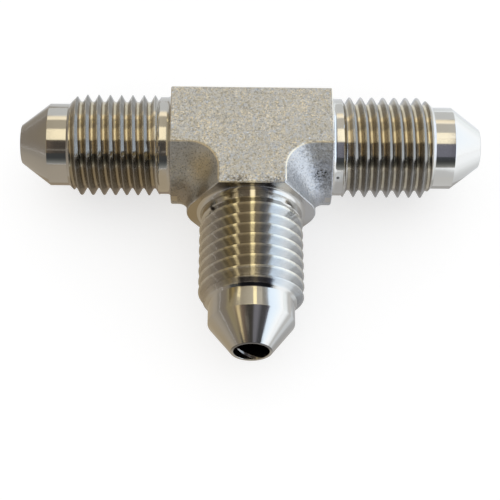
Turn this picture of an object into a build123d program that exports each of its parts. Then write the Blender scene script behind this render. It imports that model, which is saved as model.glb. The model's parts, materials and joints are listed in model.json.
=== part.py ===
from build123d import *
import os
from math import radians, tan

# Male flare union tee for 3/16 inch tube: one steel forging with three turned ends.
# The run lies along X and the branch points along -Y. The origin is the crossing of their
# axes, so the tee rests on its lower flat, half the forging's height below the origin.

# Turned male ends, 3/8-24 UNF with a 37 degree nose
thread_major_diameter = 9.46
thread_length = 7.4          # full major diameter, from the run-out to the starting chamfer
thread_start_angle = 45
run_out_angle = 30
collar_relief = 0.16         # depth of the plain collar below the thread's crests
collar_length = 1.05
collar_root_chamfer = 0.2
land_diameter = 7.69
land_length = 1.8
seat_half_angle = 37
nose_edge_round = 0.1

# Bores
bore_diameter = 3.175
nose_rim_width = 0.2425      # of the ring around the bore's mouth, with its edge still sharp

# Forged body
flat_above_thread = 0.58     # height of each flat over the thread's crests
flat_width = 6.0             # of the T-shaped flats, across each arm
parting_width = 11.86        # across each arm at the parting band
parting_band_height = 1.9    # upright band left where the dies meet
arm_stub_length = 1.52       # from the band's inner corner to the turned end face
pocket_radius_at_flat = 2.75
pocket_radius_at_band = 1.05
flat_edge_chamfer = 0.14
shoulder_edge_chamfer = 0.16

thread_radius = thread_major_diameter / 2
collar_radius = thread_radius - collar_relief
land_radius = land_diameter / 2
bore_radius = bore_diameter / 2
nose_radius = bore_radius + nose_rim_width
half_height = thread_radius + flat_above_thread
half_band = parting_band_height / 2

# Stations along each arm, from the crossing outwards
centre_to_shoulder = parting_width / 2 + arm_stub_length
collar_end = centre_to_shoulder + collar_length
run_out_end = collar_end + collar_relief / tan(radians(run_out_angle))
thread_end = run_out_end + thread_length
land_start = thread_end + (thread_radius - land_radius) / tan(radians(thread_start_angle))
land_end = land_start + land_length
centre_to_tip = land_end + (land_radius - nose_radius) / tan(radians(seat_half_angle))

# The right, left and branch arms, as turns about the vertical from +X
arm_turns = (0, 180, -90)

# Two places nearer than this are the same place
touching = 0.001


def tee_outline(width, pocket_radius):
    """Draws the forging's plan at one level, with both inner corners rounded."""
    Rectangle(2 * centre_to_shoulder, width)
    with Locations((0, -centre_to_shoulder / 2)):
        Rectangle(width, centre_to_shoulder)
    inner_corners = vertices().group_by(Axis.Y)[1].sort_by(Axis.X)[1:-1]
    fillet(inner_corners, pocket_radius)


def at_arm_ends(edges, reach):
    """Picks the edges whose middle lies at the given reach along one of the three arms."""
    nearest, farthest = reach - touching, reach + touching
    right = edges.filter_by_position(Axis.X, nearest, farthest)
    left = edges.filter_by_position(Axis.X, -farthest, -nearest)
    branch = edges.filter_by_position(Axis.Y, -farthest, -nearest)
    return right + left + branch


# The forging: a band at the parting plane and, above it, drafted walls up to the flat. The
# pockets between the arms open out from the band's corner round to the flat's.
with BuildPart() as forging:
    with BuildSketch():
        tee_outline(parting_width, pocket_radius_at_band)
    extrude(amount=half_band)
    with BuildSketch(Plane.XY.offset(half_band)):
        tee_outline(parting_width, pocket_radius_at_band)
    with BuildSketch(Plane.XY.offset(half_height)):
        tee_outline(flat_width, pocket_radius_at_flat)
    loft(ruled=True)
    mirror(about=Plane.XY)
    chamfer(at_arm_ends(forging.edges(), centre_to_shoulder), shoulder_edge_chamfer)
    for top_or_bottom in (-1, 0):
        rim = forging.faces().sort_by(Axis.Z)[top_or_bottom].edges()
        rim -= at_arm_ends(rim, centre_to_shoulder - shoulder_edge_chamfer)
        chamfer(rim, flat_edge_chamfer)

# One turned end, drawn along X from inside the body to the tip of the nose.
with BuildPart() as male_end:
    with BuildSketch():
        with BuildLine():
            Polyline(
                (0, 0),
                (0, collar_radius),
                (collar_end, collar_radius),
                (run_out_end, thread_radius),
                (thread_end, thread_radius),
                (land_start, land_radius),
                (land_end, land_radius),
                (centre_to_tip, nose_radius),
                (centre_to_tip, 0),
                close=True,
            )
        make_face()
        fillet(vertices().group_by(Axis.X)[-1].sort_by(Axis.Y)[-1], nose_edge_round)
    revolve(axis=Axis.X)

with BuildPart() as flare_tee:
    add(forging.part)
    for turn in arm_turns:
        add(male_end.part, rotation=(0, 0, turn))
    shoulder_circles = at_arm_ends(flare_tee.edges().filter_by(GeomType.CIRCLE), centre_to_shoulder)
    chamfer(shoulder_circles, collar_root_chamfer)
    with Locations(Plane(origin=(centre_to_tip, 0, 0), x_dir=(0, 1, 0), z_dir=(1, 0, 0))):
        Hole(bore_radius, depth=2 * centre_to_tip)
    with Locations(Plane(origin=(0, -centre_to_tip, 0), x_dir=(1, 0, 0), z_dir=(0, -1, 0))):
        Hole(bore_radius, depth=centre_to_tip)

flare_tee.part.label = "flare_tee"

os.makedirs("parts", exist_ok=True)
export_step(flare_tee.part, "parts/flare_tee.step")
print(f"centre to tip {centre_to_tip:.3f} mm, volume {flare_tee.part.volume:.1f} mm3")
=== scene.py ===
"""Looks of the male flare union tee: a blasted steel forging with three turned ends.

The tee is one solid in the frame. Here it is dressed as a forged body and three turned,
threaded ends, all in metres and in the frame's own axes: the run lies along X and the
branch points along -Y.
"""

import json
import logging
import math
from collections.abc import Callable, Iterator, Mapping, Sequence
from contextlib import contextmanager
from dataclasses import dataclass, replace
from enum import Enum

import bpy
from mathutils import Matrix, Vector


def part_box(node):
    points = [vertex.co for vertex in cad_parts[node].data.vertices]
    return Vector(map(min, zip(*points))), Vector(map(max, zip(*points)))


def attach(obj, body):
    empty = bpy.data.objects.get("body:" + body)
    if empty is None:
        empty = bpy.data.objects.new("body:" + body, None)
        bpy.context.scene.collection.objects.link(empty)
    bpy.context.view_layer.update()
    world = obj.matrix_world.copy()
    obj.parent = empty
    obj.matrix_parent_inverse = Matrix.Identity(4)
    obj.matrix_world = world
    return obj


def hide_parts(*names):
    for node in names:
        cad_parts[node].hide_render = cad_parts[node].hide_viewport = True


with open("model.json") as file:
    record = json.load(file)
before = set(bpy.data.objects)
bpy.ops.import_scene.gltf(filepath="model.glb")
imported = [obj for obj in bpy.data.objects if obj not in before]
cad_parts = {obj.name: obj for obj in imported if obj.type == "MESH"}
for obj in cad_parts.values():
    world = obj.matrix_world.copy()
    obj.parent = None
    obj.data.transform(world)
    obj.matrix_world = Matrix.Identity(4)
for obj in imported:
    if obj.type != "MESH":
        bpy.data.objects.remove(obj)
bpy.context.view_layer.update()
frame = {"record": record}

log = logging.getLogger("flare_tee")

MM = 0.001
FULL_TURN = 2 * math.pi
MERGE_DISTANCE = 0.001 * MM
SAME_PLACE = 0.004 * MM
SHARP_ANGLE = math.radians(32)
FLAT_WITHIN = math.radians(1)
NODE = "flare_tee"
BODY = "root"

UP = (0, 0, 1)
TO_THE_RIGHT = (1, 0, 0)
BRANCH_AXIS = (0, -1, 0)
WHITE = (1, 1, 1, 1)

Colour = tuple[float, float, float]
Point = tuple[float, float, float]
Pair = tuple[float, float]
Stops = tuple[tuple[float, Colour], ...]
FaceTest = Callable[[bpy.types.MeshPolygon], bool]


class Arm(Enum):
    """The three arms, each as its turn about the vertical from +X."""

    RIGHT = 0.0
    LEFT = math.pi
    BRANCH = -math.pi / 2

    @property
    def axis(self) -> Point:
        """The arm's direction."""
        return (math.cos(self.value), math.sin(self.value), 0.0)

    def along(self, point: Vector) -> float:
        """Gives a point's place along the arm."""
        return point.x * self.axis[0] + point.y * self.axis[1]


# How far each arm's thread is turned about the arm, in degrees
THREAD_TURNS = {Arm.RIGHT: -152.3, Arm.LEFT: 20.3, Arm.BRANCH: -59.0}

# Where a thread's finish begins and ends, from its first and its last full crest
THREAD_BEGINS: Pair = (-0.1 * MM, 0.3 * MM)
THREAD_ENDS: Pair = (0.7 * MM, 0.5 * MM)

# The share of a patch's reach within which it has its full colour; patches are real stains and
# marks, and painted light and shade
STAIN_AND_LIGHT_CORE = 0.35

# How far out a face has to look to be an end face, where 1 is straight out
LOOKS_OUT = 0.99


@dataclass(frozen=True)
class TeeSizes:
    """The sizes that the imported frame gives."""

    half_height: float
    centre_to_tip: float
    bore_radius: float
    thread_radius: float
    thread_first: float
    thread_last: float

    @classmethod
    def from_frame(cls) -> "TeeSizes":
        """Reads the node's box and the record's mounts.

        Returns:
            The tee's sizes in metres.
        """
        mounts = {mount["name"]: mount for mount in frame["record"]["mounts"]}
        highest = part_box(NODE)[1]
        thread = mounts["right_thread"]
        middle = thread["pos_m"][0]
        half_length = thread["dims"]["length_mm"] * MM / 2
        return cls(
            half_height=highest.z,
            centre_to_tip=highest.x,
            bore_radius=mounts["run_bore"]["dims"]["r_mm"] * MM,
            thread_radius=thread["dims"]["r_mm"] * MM,
            thread_first=middle - half_length,
            thread_last=middle + half_length,
        )


# Modelling by hand: selection, drawing, turning


def pick_up(piece: bpy.types.Object) -> None:
    """Makes one object the only selected and the active one."""
    bpy.ops.object.select_all(action="DESELECT")
    piece.select_set(True)
    bpy.context.view_layer.objects.active = piece


@contextmanager
def editing(piece: bpy.types.Object) -> Iterator[None]:
    """Opens a mesh in edit mode with all of it selected, and closes it again."""
    pick_up(piece)
    bpy.ops.object.mode_set(mode="EDIT")
    bpy.ops.mesh.select_mode(type="VERT")
    bpy.ops.mesh.select_all(action="SELECT")
    try:
        yield
    finally:
        bpy.ops.object.mode_set(mode="OBJECT")


def select_by_place(
    piece: bpy.types.Object, element: str, wanted: Callable[[Sequence[Vector]], bool]
) -> None:
    """Selects a mesh's edges or faces by where their corners lie, and leaves it in edit mode.

    Args:
        piece: The mesh object.
        element: "EDGE" or "FACE".
        wanted: Takes the corners of an edge or face and says whether it is wanted.
    """
    pick_up(piece)
    bpy.ops.object.mode_set(mode="EDIT")
    bpy.ops.mesh.select_mode(type=element)
    bpy.ops.mesh.select_all(action="DESELECT")
    bpy.ops.object.mode_set(mode="OBJECT")
    mesh = piece.data
    for item in mesh.edges if element == "EDGE" else mesh.polygons:
        item.select = wanted([mesh.vertices[index].co for index in item.vertices])
    bpy.ops.object.mode_set(mode="EDIT")


def clean(piece: bpy.types.Object) -> None:
    """Merges a closed mesh's doubled vertices and turns all its faces outwards."""
    with editing(piece):
        bpy.ops.mesh.remove_doubles(threshold=MERGE_DISTANCE)
        bpy.ops.mesh.dissolve_degenerate(threshold=MERGE_DISTANCE)
        bpy.ops.mesh.select_all(action="SELECT")
        bpy.ops.mesh.normals_make_consistent(inside=False)


def apply_modifier(piece: bpy.types.Object, kind: str, **settings: object) -> None:
    """Adds one modifier with its settings and applies it.

    Args:
        piece: The object to change.
        kind: The modifier's type.
        **settings: The modifier's properties.
    """
    pick_up(piece)
    bpy.ops.object.modifier_add(type=kind)
    modifier = piece.modifiers[-1]
    for name, value in settings.items():
        setattr(modifier, name, value)
    bpy.ops.object.modifier_apply(modifier=modifier.name)


def shade(piece: bpy.types.Object) -> None:
    """Smooths a piece between its sharp edges, with its broad faces kept true."""
    pick_up(piece)
    bpy.ops.object.shade_smooth_by_angle(angle=SHARP_ANGLE)
    apply_modifier(piece, "WEIGHTED_NORMAL", mode="FACE_AREA", keep_sharp=True)


def add_plane(
    name: str, width: float, height: float, location: Vector, rotation: Point = (0, 0, 0)
) -> bpy.types.Object:
    """Adds a flat rectangle.

    Args:
        name: Its name.
        width: Its size along its own X.
        height: Its size along its own Y.
        location: The place of its middle.
        rotation: Its turn.

    Returns:
        The rectangle, with its place and turn in its mesh.
    """
    bpy.ops.object.select_all(action="DESELECT")
    bpy.ops.mesh.primitive_plane_add(size=1, location=location, rotation=rotation)
    plane = bpy.context.object
    plane.name = name
    plane.scale = (width, height, 1)
    bpy.ops.object.transform_apply(location=True, rotation=True, scale=True)
    return plane


def direction(azimuth: float, elevation: float) -> Vector:
    """Gives the direction at an azimuth, from +Y towards +X, and an elevation."""
    level = math.cos(elevation)
    return Vector((math.sin(azimuth) * level, math.cos(azimuth) * level, math.sin(elevation)))


def place_in_frame(piece: bpy.types.Object) -> None:
    """Puts a finished piece in the frame: it rides on the body and stands for the solid."""
    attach(piece, BODY)
    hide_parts(NODE)
    log.info("%s: %d faces", piece.name, len(piece.data.polygons))


class Pen:
    """Draws an open profile in the XY plane, where Y is the radius, as a chain of edges."""

    def __init__(self, name: str, start: Pair) -> None:
        """Puts the pen down at a place along X and a radius."""
        bpy.ops.object.select_all(action="DESELECT")
        bpy.ops.mesh.primitive_plane_add(size=MM, location=(*start, 0))
        self.drawing = bpy.context.object
        self.drawing.name = name
        bpy.ops.object.transform_apply(location=True, rotation=False, scale=False)
        bpy.ops.object.mode_set(mode="EDIT")
        bpy.ops.mesh.select_mode(type="VERT")
        bpy.ops.mesh.select_all(action="SELECT")
        bpy.ops.mesh.merge(type="CENTER")
        self.tip = Vector((*start, 0))

    def line(self, x: float, radius: float, steps: int = 1) -> None:
        """Draws a straight line of some steps to a place along X and a radius."""
        target = Vector((x, radius, 0))
        stride = (target - self.tip) / steps
        for _ in range(steps):
            bpy.ops.mesh.extrude_vertices_move(TRANSFORM_OT_translate={"value": stride})
        self.tip = target

    def arc(self, centre: Vector, angle: float, steps: int) -> None:
        """Draws an arc of some steps round a centre, anticlockwise if its angle is positive."""
        bpy.ops.mesh.spin(steps=steps, angle=-angle, center=centre, axis=UP)
        self.tip = centre + Matrix.Rotation(angle, 3, "Z") @ (self.tip - centre)

    def corner(self, x: float, radius: float, onward: float, rounding: float, steps: int) -> None:
        """Draws a line up to a corner and an arc round it.

        Args:
            x: The sharp corner's place along X.
            radius: The sharp corner's radius.
            onward: The heading after the corner, as an angle from +X.
            rounding: The arc's radius.
            steps: How many edges the arc has.
        """
        sharp = Vector((x, radius, 0))
        heading = (sharp - self.tip).normalized()
        bend = onward - math.atan2(heading.y, heading.x)
        bend = (bend + math.pi) % FULL_TURN - math.pi
        touch = sharp - heading * rounding * math.tan(abs(bend) / 2)
        self.line(touch.x, touch.y)
        side = math.copysign(1, bend)
        centre = touch + side * rounding * Vector((-heading.y, heading.x, 0))
        self.arc(centre, bend, steps)

    def lift(self) -> bpy.types.Object:
        """Leaves edit mode and hands over the drawing."""
        bpy.ops.object.mode_set(mode="OBJECT")
        return self.drawing


# The turned ends


@dataclass
class FlareEnd:
    """One turned end: root round, collar, cut thread, land, 37 degree seat and bore."""

    sizes: TeeSizes
    pitch: float = 25.4 * MM / 24
    crest_flat_share: float = 0.06
    crest_rounding: float = 0.05 * MM
    root_rounding: float = 0.20 * MM
    collar_relief: float = 0.16 * MM
    collar_length: float = 1.05 * MM
    collar_root_round: float = 0.42 * MM
    run_out_angle: float = math.radians(30)
    flank_angle: float = math.radians(60)
    start_angle: float = math.radians(45)
    land_radius: float = 3.845 * MM
    land_length: float = 1.8 * MM
    land_edge_round: float = 0.06 * MM
    seat_angle: float = math.radians(37)
    nose_radius: float = 1.83 * MM
    nose_edge_round: float = 0.1 * MM
    bore_edge_round: float = 0.05 * MM
    socket_depth: float = 0.3 * MM
    socket_clearance: float = 0.06 * MM
    collar_lead: float = 0.08 * MM
    lead_in_pitches: float = 1.25
    steps_round: int = 160
    land_edge_steps: int = 3
    nose_edge_steps: int = 5
    bore_edge_steps: int = 3
    bore_wall_steps: int = 4
    collar_root_steps: int = 6
    thread_root_steps: int = 3
    thread_crest_steps: int = 2
    flank_steps: int = 6

    def __post_init__(self) -> None:
        """Works out the stations along the arm and the thread's own sizes."""
        sizes = self.sizes
        self.collar_radius = sizes.thread_radius - self.collar_relief
        self.collar_end = sizes.thread_first - self.collar_relief / math.tan(self.run_out_angle)
        self.shoulder = self.collar_end - self.collar_length
        self.sheet_first = self.collar_end - self.collar_lead
        chamfer_depth = sizes.thread_radius - self.land_radius
        self.land_start = sizes.thread_last + chamfer_depth / math.tan(self.start_angle)
        self.land_end = self.land_start + self.land_length
        self.half_crest = self.pitch * self.crest_flat_share / 2
        self.arc_reach = self.root_rounding * math.sin(self.flank_angle)
        self.arc_rise = self.root_rounding * (1 - math.cos(self.flank_angle))
        flank_reach = self.pitch / 2 - self.half_crest - self.arc_reach
        flank_rise = flank_reach * math.tan(self.flank_angle)
        self.root_radius = sizes.thread_radius - self.arc_rise - flank_rise

    def build(self) -> bpy.types.Object:
        """Models the end along +X.

        Returns:
            One closed mesh, from its socket in the body to its nose.
        """
        blank = self._turn_blank()
        thread = self._cut_thread()
        pick_up(thread)
        blank.select_set(True)
        bpy.ops.object.join()
        end = bpy.context.object
        clean(end)
        return end

    def _turn_blank(self) -> bpy.types.Object:
        """Turns all but the thread: land, seat, nose, bore, socket, root round, collar."""
        sizes = self.sizes
        pen = Pen("turned_blank", (self.land_start, self.land_radius))
        pen.line(self.land_end - self.land_length / 2, self.land_radius)
        tip, downwards, backwards = sizes.centre_to_tip, -math.pi / 2, -math.pi
        land_edge = (self.land_edge_round, self.land_edge_steps)
        nose_edge = (self.nose_edge_round, self.nose_edge_steps)
        bore_edge = (self.bore_edge_round, self.bore_edge_steps)
        pen.corner(self.land_end, self.land_radius, -self.seat_angle, *land_edge)
        pen.corner(tip, self.nose_radius, downwards, *nose_edge)
        pen.corner(tip, sizes.bore_radius, backwards, *bore_edge)
        pen.line(self.shoulder, sizes.bore_radius, self.bore_wall_steps)
        socket_radius = sizes.bore_radius + self.socket_clearance
        socket_back = self.shoulder - self.socket_depth
        pen.line(self.shoulder, socket_radius)
        pen.line(socket_back, socket_radius)
        outer = self.collar_radius + self.collar_root_round
        pen.line(socket_back, outer)
        pen.line(self.shoulder, outer)
        centre = Vector((self.shoulder + self.collar_root_round, outer, 0))
        pen.arc(centre, math.pi / 2, self.collar_root_steps)
        pen.line(self.sheet_first, self.collar_radius)
        blank = pen.lift()
        with editing(blank):
            bpy.ops.mesh.spin(
                steps=self.steps_round, angle=FULL_TURN, center=(0, 0, 0), axis=TO_THE_RIGHT
            )
            bpy.ops.mesh.select_all(action="SELECT")
            bpy.ops.mesh.remove_doubles(threshold=MERGE_DISTANCE)
        return blank

    def _cut_thread(self) -> bpy.types.Object:
        """Winds one tooth's profile along the arm and turns the result down to the blank."""
        first_root = self.sheet_first - self.lead_in_pitches * self.pitch
        turns = math.ceil((self.land_start - first_root) / self.pitch)
        crest = first_root + self.pitch / 2
        pen = Pen("thread", (first_root, self.root_radius))
        root_centre = Vector((first_root, self.root_radius + self.root_rounding, 0))
        pen.arc(root_centre, self.flank_angle, self.thread_root_steps)
        top = self.sizes.thread_radius
        below_crest = self.crest_rounding * math.tan(self.flank_angle)
        shy_of_crest = crest - self.half_crest - self.crest_rounding
        pen.line(shy_of_crest, top - below_crest, self.flank_steps)
        for side, onward in ((-1, 0.0), (1, -self.flank_angle)):
            edge = crest + side * self.half_crest
            pen.corner(edge, top, onward, self.crest_rounding, self.thread_crest_steps)
        foot = first_root + self.pitch - self.arc_reach
        pen.line(foot, self.root_radius + self.arc_rise, self.flank_steps)
        next_centre = root_centre + Vector((self.pitch, 0, 0))
        pen.arc(next_centre, self.flank_angle, self.thread_root_steps)
        thread = pen.lift()
        apply_modifier(
            thread,
            "SCREW",
            axis="X",
            angle=FULL_TURN,
            screw_offset=self.pitch,
            iterations=turns,
            steps=self.steps_round,
            render_steps=self.steps_round,
            use_merge_vertices=False,
        )
        for vertex in thread.data.vertices:
            vertex.co = self._turned_down(vertex.co)
        with editing(thread):
            bpy.ops.mesh.remove_doubles(threshold=MERGE_DISTANCE)
        return thread

    def _turned_down(self, point: Vector) -> Vector:
        """Moves a point of the wound thread onto the blank where it stands outside it.

        Args:
            point: A point of the wound thread.

        Returns:
            The point after the collar, the run-out and the starting chamfer are turned.
        """
        x = min(max(point.x, self.sheet_first), self.land_start)
        radius = math.hypot(point.y, point.z)
        past_collar = x - self.collar_end
        past_thread = x - self.sizes.thread_last
        run_out_floor = self.collar_radius - past_collar * math.tan(self.flank_angle)
        highest = min(
            self.sizes.thread_radius,
            self.collar_radius + max(past_collar, 0) * math.tan(self.run_out_angle),
            self.sizes.thread_radius - past_thread * math.tan(self.start_angle),
        )
        turned = min(max(radius, run_out_floor), highest)
        return Vector((x, point.y * turned / radius, point.z * turned / radius))


def on_arm(end: bpy.types.Object, arm: Arm, thread_turn: float) -> bpy.types.Object:
    """Copies the turned end and puts the copy on one arm.

    Args:
        end: The end as modelled, along +X.
        arm: The arm that it goes on.
        thread_turn: How far it is turned about its own axis, for where its thread starts.

    Returns:
        The copy, with its place in its mesh.
    """
    copy = end.copy()
    copy.data = end.data.copy()
    bpy.context.collection.objects.link(copy)
    copy.name = f"{arm.name.lower()}_end"
    copy.data.name = copy.name
    turn = Matrix.Rotation(arm.value, 4, "Z") @ Matrix.Rotation(thread_turn, 4, "X")
    copy.data.transform(turn)
    return copy


# The forging


@dataclass(frozen=True)
class Forging:
    """The forged body: drafted walls, T-shaped flats, turned end faces and crossing bores."""

    sizes: TeeSizes
    shoulder: float
    flat_half_width: float = 3.0 * MM
    band_half_width: float = 5.93 * MM
    half_band: float = 0.95 * MM
    pocket_radius_at_flat: float = 2.75 * MM
    pocket_radius_at_band: float = 1.05 * MM
    flat_edge_round: float = 0.14 * MM
    band_edge_round: float = 0.85 * MM
    shoulder_edge_chamfer: float = 0.08 * MM
    edge_round_steps: int = 5
    pocket_steps: int = 24
    bore_steps: int = 96

    def outline(self, half_width: float, pocket_radius: float) -> list[Vector]:
        """Works out the T-shaped plan at one level, anticlockwise seen from above.

        Args:
            half_width: Half the width across each arm.
            pocket_radius: The round of the two inner corners.

        Returns:
            The outline's points, the same number at every level.
        """
        reach = self.shoulder - self.shoulder_edge_chamfer
        centre = half_width + pocket_radius
        left_pocket = self._pocket(Vector((-centre, -centre)), pocket_radius, math.pi / 2)
        right_pocket = self._pocket(Vector((centre, -centre)), pocket_radius, math.pi)
        return [
            Vector((reach, half_width)),
            Vector((-reach, half_width)),
            Vector((-reach, -half_width)),
            *left_pocket,
            Vector((-half_width, -reach)),
            Vector((half_width, -reach)),
            *right_pocket,
            Vector((reach, -half_width)),
        ]

    def _pocket(self, centre: Vector, radius: float, first_angle: float) -> list[Vector]:
        """Gives a pocket's quarter round, clockwise from an angle."""
        stride = math.pi / 2 / self.pocket_steps
        angles = [first_angle - step * stride for step in range(self.pocket_steps + 1)]
        return [centre + radius * Vector((math.cos(angle), math.sin(angle))) for angle in angles]

    def build(self) -> bpy.types.Object:
        """Models the body with its bores.

        Returns:
            One closed mesh.
        """
        body = self._raise_walls()
        self._soften_edges(body)
        clean(body)
        self._bore(body)
        clean(body)
        return body

    def _raise_walls(self) -> bpy.types.Object:
        """Extrudes the lower flat's outline up through the band to the upper flat."""
        flat = self.outline(self.flat_half_width, self.pocket_radius_at_flat)
        band = self.outline(self.band_half_width, self.pocket_radius_at_band)
        height = self.sizes.half_height
        bpy.ops.object.select_all(action="DESELECT")
        bpy.ops.mesh.primitive_circle_add(vertices=len(flat), radius=MM, fill_type="NGON")
        body = bpy.context.object
        body.name = "forged_body"
        for vertex, point in zip(body.data.vertices, flat):
            vertex.co = (*point, -height)
        last = flat
        level = -height
        levels = ((band, -self.half_band), (band, self.half_band), (flat, height))
        for next_outline, next_level in levels:
            pick_up(body)
            bpy.ops.object.mode_set(mode="EDIT")
            if last is flat:
                bpy.ops.mesh.select_all(action="SELECT")
            rise = (0, 0, next_level - level)
            bpy.ops.mesh.extrude_region_move(TRANSFORM_OT_translate={"value": rise})
            bpy.ops.object.mode_set(mode="OBJECT")
            for vertex in body.data.vertices:
                if vertex.select:
                    gaps = [(vertex.co.xy - point).length for point in last]
                    vertex.co = (*next_outline[gaps.index(min(gaps))], next_level)
            last, level = next_outline, next_level
        clean(body)
        with editing(body):
            bpy.ops.mesh.dissolve_limited(angle_limit=FLAT_WITHIN)
        return body

    def _in_arm_end(self, corners: Sequence[Vector]) -> bool:
        """Says whether all corners of an edge or face lie in the same arm's end."""
        reach = self.shoulder - self.shoulder_edge_chamfer
        return any(
            all(abs(arm.along(corner) - reach) < SAME_PLACE for corner in corners) for arm in Arm
        )

    def _bevel_edges_at(self, body: bpy.types.Object, level: float, size: float) -> None:
        """Rounds the lengthways edges at a height, above and below.

        Args:
            body: The body.
            level: Their height over the middle.
            size: How far the round reaches from the edge.
        """

        def lengthways(corners: Sequence[Vector]) -> bool:
            """Says whether an edge lies at the level and outside the end faces."""
            first, second = corners
            at_level = abs(abs(first.z) - level) < SAME_PLACE
            level_edge = abs(first.z - second.z) < SAME_PLACE
            return at_level and level_edge and not self._in_arm_end(corners)

        select_by_place(body, "EDGE", lengthways)
        bpy.ops.mesh.bevel(
            offset=size, segments=self.edge_round_steps, affect="EDGES", clamp_overlap=False
        )
        bpy.ops.object.mode_set(mode="OBJECT")

    def _soften_edges(self, body: bpy.types.Object) -> None:
        """Rounds the flats' rims and the parting band, and chamfers the end faces."""
        self._bevel_edges_at(body, self.sizes.half_height, self.flat_edge_round)
        self._bevel_edges_at(body, self.half_band, self.band_edge_round)

        select_by_place(body, "FACE", self._in_arm_end)
        chamfer = self.shoulder_edge_chamfer
        bpy.ops.mesh.inset(thickness=chamfer, depth=chamfer, use_individual=True)
        bpy.ops.object.mode_set(mode="OBJECT")

    def _bore(self, body: bpy.types.Object) -> None:
        """Drills the run's bore through and the branch's bore into it.

        Args:
            body: The solid body.
        """
        depth = self.shoulder + MM
        drills = (
            ((0, math.pi / 2, 0), (0, 0, 0), 2 * depth),
            ((math.pi / 2, 0, 0), (0, -depth / 2, 0), depth),
        )
        for rotation, location, length in drills:
            bpy.ops.object.select_all(action="DESELECT")
            bpy.ops.mesh.primitive_cylinder_add(
                vertices=self.bore_steps,
                radius=self.sizes.bore_radius,
                depth=length,
                location=location,
                rotation=rotation,
            )
            drill = bpy.context.object
            apply_modifier(body, "BOOLEAN", operation="DIFFERENCE", solver="EXACT", object=drill)
            bpy.data.objects.remove(drill)


# Node boards: shader maths as sums on sockets

Socket = bpy.types.NodeSocket
MIX_FACTOR, MIX_FIRST, MIX_SECOND, MIX_RESULT = 0, 6, 7, 2


@dataclass(frozen=True)
class Wire:
    """One output of a board's node, which varies over a surface."""

    board: "Board"
    socket: Socket


class Value(Wire):
    """A number that varies over a surface, for sums written as Python expressions."""

    def __add__(self, other: "Value | float") -> "Value":
        """Adds."""
        return self.board.sum("ADD", self, other)

    __radd__ = __add__

    def __sub__(self, other: "Value | float") -> "Value":
        """Takes away."""
        return self.board.sum("SUBTRACT", self, other)

    def __rsub__(self, other: float) -> "Value":
        """Takes this away from a number."""
        return self.board.sum("SUBTRACT", other, self)

    def __mul__(self, other: "Value | float") -> "Value":
        """Multiplies."""
        return self.board.sum("MULTIPLY", self, other)

    __rmul__ = __mul__

    def __truediv__(self, other: "Value | float") -> "Value":
        """Divides."""
        return self.board.sum("DIVIDE", self, other)

    def most(self, other: "Value | float") -> "Value":
        """Takes the larger of this and another."""
        return self.board.sum("MAXIMUM", self, other)


def part_way(pair: Pair, share: Value) -> Value:
    """Goes from a pair's first number to its second as a share goes from 0 to 1."""
    first, second = pair
    return first + (second - first) * share


class Arrow(Wire):
    """A vector that varies over a surface."""

    def __add__(self, other: "Arrow") -> "Arrow":
        """Adds."""
        return self.board.arrow("ADD", self, other)

    def __sub__(self, other: "Arrow") -> "Arrow":
        """Takes away."""
        return self.board.arrow("SUBTRACT", self, other)

    def __mul__(self, other: Value | float) -> "Arrow":
        """Makes it longer or shorter."""
        return self.board.arrow("SCALE", self, other, 3)

    def cross(self, other: "Arrow") -> "Arrow":
        """Gives the vector at right angles to both."""
        return self.board.arrow("CROSS_PRODUCT", self, other)

    def unit(self) -> "Arrow":
        """Gives the vector of length 1 in its direction."""
        return self.board.arrow("NORMALIZE", self)

    def along(self, axis: Sequence[float]) -> Value:
        """Measures it along an axis of length 1."""
        return self.board.measure("DOT_PRODUCT", {0: self, 1: tuple(axis)})

    def length(self) -> Value:
        """Measures its length."""
        return self.board.measure("LENGTH", {0: self})


@dataclass(frozen=True)
class StainAndLightPatch:
    """A patch round a place, both in mm, whose colour multiplies the metal's: a real stain or mark,
    or painted light.
    """

    centre: Point
    reach: float
    tint: Colour


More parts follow.
